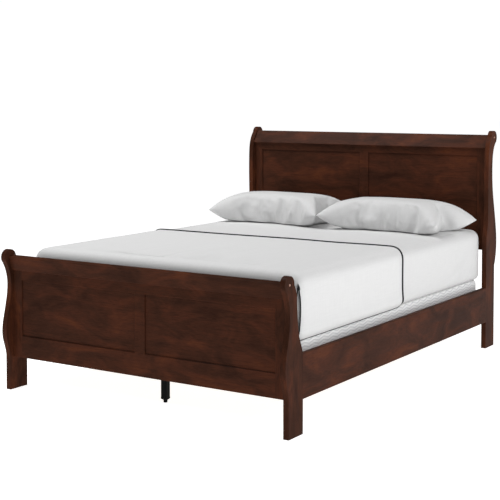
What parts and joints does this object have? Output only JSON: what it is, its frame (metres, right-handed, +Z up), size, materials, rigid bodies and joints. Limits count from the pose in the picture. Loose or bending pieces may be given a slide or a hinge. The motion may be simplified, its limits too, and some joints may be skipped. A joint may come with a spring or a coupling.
{
  "type": "sleigh bed",
  "caption": "Queen sleigh bed with scrolled S posts, panelled head and foot boards, side rails, slats, box spring, mattress, piped coverlet and pillows.",
  "frame": {"origin": "on the floor, under the middle of the bed's overall width and length", "axes": "+X across the bed to the right as seen from the foot, +Y from the footboard to the headboard, +Z up"},
  "size_m": [1.631, 2.3557, 1.2419],
  "materials": {
    "cherry_finish": "satin",
    "plain_wood": "matte",
    "button_cap": "satin",
    "zinc_steel": "satin",
    "black_steel": "satin",
    "black_plastic": "matte",
    "foundation_ticking": "matte",
    "mattress_ticking": "matte",
    "white_sheet": "matte",
    "coverlet_white": "matte",
    "piping_grey": "matte",
    "pillowcase_white": "matte"
  },
  "bodies": {
    "bed_frame": {"footboard_post_left": "cherry_finish", "footboard_post_right": "cherry_finish", "footboard_crown_rail": "cherry_finish", "footboard_top_rail": "cherry_finish", "footboard_bottom_rail": "cherry_finish", "footboard_stile_left": "cherry_finish", "footboard_stile_right": "cherry_finish", "footboard_center_stile": "cherry_finish", "footboard_panel_left": "cherry_finish", "footboard_panel_right": "cherry_finish", "footboard_dowels": "plain_wood", "headboard_post_left": "cherry_finish", "headboard_post_right": "cherry_finish", "headboard_crown_rail": "cherry_finish", "headboard_top_rail": "cherry_finish", "headboard_bottom_rail": "cherry_finish", "headboard_stile_left": "cherry_finish", "headboard_stile_right": "cherry_finish", "headboard_center_stile": "cherry_finish", "headboard_panel_left": "cherry_finish", "headboard_panel_right": "cherry_finish", "headboard_dowels": "plain_wood", "scroll_buttons": "button_cap", "side_rail_left": "cherry_finish", "slat_cleat_left": "plain_wood", "side_rail_right": "cherry_finish", "slat_cleat_right": "plain_wood", "rail_hook_plates": "zinc_steel", "post_slot_plates": "zinc_steel", "plate_screws": "zinc_steel", "cleat_screws": "zinc_steel", "slat_1": "plain_wood", "slat_2": "plain_wood", "slat_3": "plain_wood", "slat_4": "plain_wood", "slat_5": "plain_wood", "slat_6": "plain_wood", "slat_7": "plain_wood", "slat_8": "plain_wood", "slat_9": "plain_wood", "slat_screws": "zinc_steel", "center_beam": "plain_wood", "center_leg_foot": "black_steel", "leg_end_plug_foot": "black_plastic", "center_leg_middle": "black_steel", "leg_end_plug_middle": "black_plastic", "center_leg_head": "black_steel", "leg_end_plug_head": "black_plastic", "leg_screws": "zinc_steel"},
    "foundation": {"foundation": "foundation_ticking"},
    "mattress": {"mattress": "mattress_ticking", "fitted_sheet": "white_sheet"},
    "coverlet": {"coverlet": "coverlet_white", "coverlet_piping": "piping_grey"},
    "pillow_left": {"pillow_left": "pillowcase_white"},
    "pillow_right": {"pillow_right": "pillowcase_white"},
    "glide_foot": {"glide_foot": "black_plastic"},
    "glide_middle": {"glide_middle": "black_plastic"},
    "glide_head": {"glide_head": "black_plastic"}
  },
  "joints": [
    {"name": "foundation_lift", "type": "slide", "parent": "bed_frame", "child": "foundation", "axis": [0, 0, 1], "range_m": [0, 0.5]},
    {"name": "mattress_lift", "type": "slide", "parent": "foundation", "child": "mattress", "axis": [0, 0, 1], "range_m": [0, 0.4]},
    {"name": "coverlet_lift", "type": "slide", "parent": "mattress", "child": "coverlet", "axis": [0, 0, 1], "range_m": [0, 0.4]},
    {"name": "pillow_left_lift", "type": "slide", "parent": "mattress", "child": "pillow_left", "axis": [0, 0, 1], "range_m": [0, 0.4]},
    {"name": "pillow_right_lift", "type": "slide", "parent": "mattress", "child": "pillow_right", "axis": [0, 0, 1], "range_m": [0, 0.4]},
    {"name": "glide_foot_adjust", "type": "slide", "parent": "bed_frame", "child": "glide_foot", "axis": [0, 0, 1], "range_m": [0, 0.008]},
    {"name": "glide_middle_adjust", "type": "slide", "parent": "bed_frame", "child": "glide_middle", "axis": [0, 0, 1], "range_m": [0, 0.008]},
    {"name": "glide_head_adjust", "type": "slide", "parent": "bed_frame", "child": "glide_head", "axis": [0, 0, 1], "range_m": [0, 0.008]}
  ]
}
